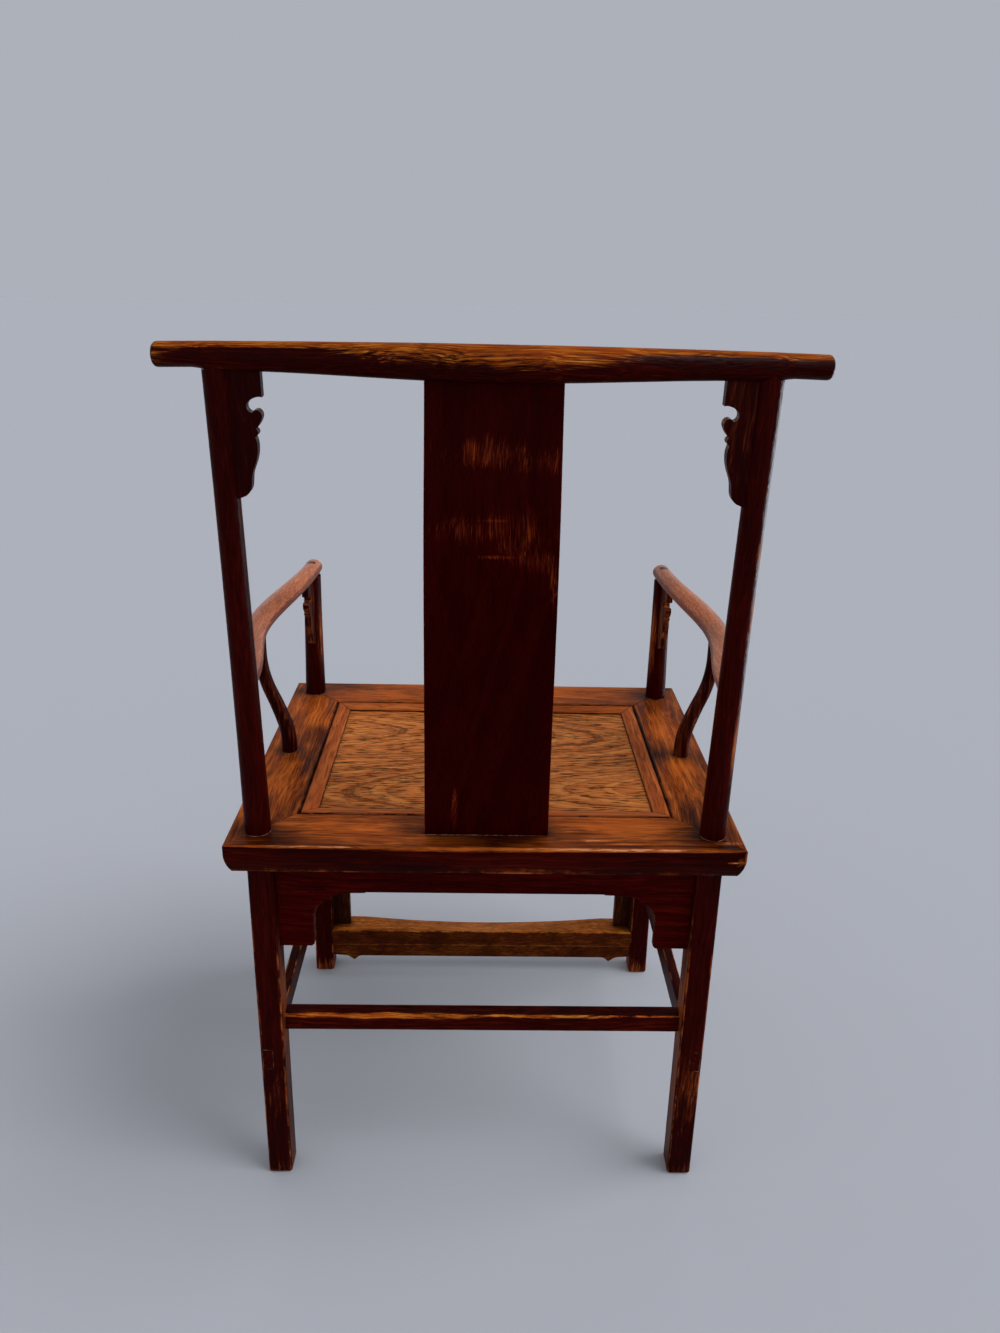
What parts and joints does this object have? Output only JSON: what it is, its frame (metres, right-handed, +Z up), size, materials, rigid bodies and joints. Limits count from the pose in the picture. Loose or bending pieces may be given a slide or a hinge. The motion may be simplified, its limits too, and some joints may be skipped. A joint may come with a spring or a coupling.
{
  "type": "yoke-back armchair",
  "caption": "Wooden armchair with a yoke-shaped top rail, bowed splat, serpentine arms on curved side posts, mitred seat frame, carved spandrels and a footrest.",
  "frame": {"origin": "on the floor, under the middle of the bounding box", "axes": "+Z up; the chair faces -Y; +X is on the sitter's left"},
  "size_m": [0.64, 0.5074, 1.0385],
  "materials": {
    "top_rail_wood": "worn polish, amber-brown along the crest, dark below",
    "splat_wood": "worn dark lacquer over red-brown wood, satin",
    "post_wood": "dark red-brown polish, satin, worn along the arrises",
    "arm_wood": "hand-worn, lighter pinkish brown, satin",
    "seat_frame_wood": "warm orange-brown polish, satin",
    "seat_panel_wood": "brown polish with fine dark grain",
    "apron_wood": "dark red-brown polish, satin",
    "stretcher_wood": "dark red-brown polish, worn through at the arrises",
    "footrest_wood": "worn golden brown"
  },
  "bodies": {
    "root": {"apron_front": "apron_wood", "apron_rear": "apron_wood", "apron_side_left": "apron_wood", "apron_side_right": "apron_wood", "apron_upright_left": "apron_wood", "apron_upright_right": "apron_wood", "arm_spandrel_left": "post_wood", "arm_spandrel_right": "post_wood", "armrest_left": "arm_wood", "armrest_right": "arm_wood", "back_splat": "splat_wood", "bracket_rear_left": "apron_wood", "bracket_rear_right": "apron_wood", "bracket_side_front_left": "apron_wood", "bracket_side_front_right": "apron_wood", "bracket_side_rear_left": "apron_wood", "bracket_side_rear_right": "apron_wood", "footrest": "footrest_wood", "footrest_apron": "footrest_wood", "front_leg_left": "post_wood", "front_leg_right": "post_wood", "middle_post_left": "post_wood", "middle_post_right": "post_wood", "panel_batten_left": "seat_panel_wood", "panel_batten_right": "seat_panel_wood", "rear_leg_left": "post_wood", "rear_leg_right": "post_wood", "seat_panel_front_board": "seat_panel_wood", "seat_panel_rear_board": "seat_panel_wood", "seat_rail_front": "seat_frame_wood", "seat_rail_left": "seat_frame_wood", "seat_rail_rear": "seat_frame_wood", "seat_rail_right": "seat_frame_wood", "seat_strip_front": "seat_frame_wood", "seat_strip_left": "seat_frame_wood", "seat_strip_rear": "seat_frame_wood", "seat_strip_right": "seat_frame_wood", "stretcher_rear": "stretcher_wood", "stretcher_side_left": "stretcher_wood", "stretcher_side_right": "stretcher_wood", "top_rail": "top_rail_wood", "top_spandrel_left": "post_wood", "top_spandrel_right": "post_wood"}
  },
  "joints": []
}
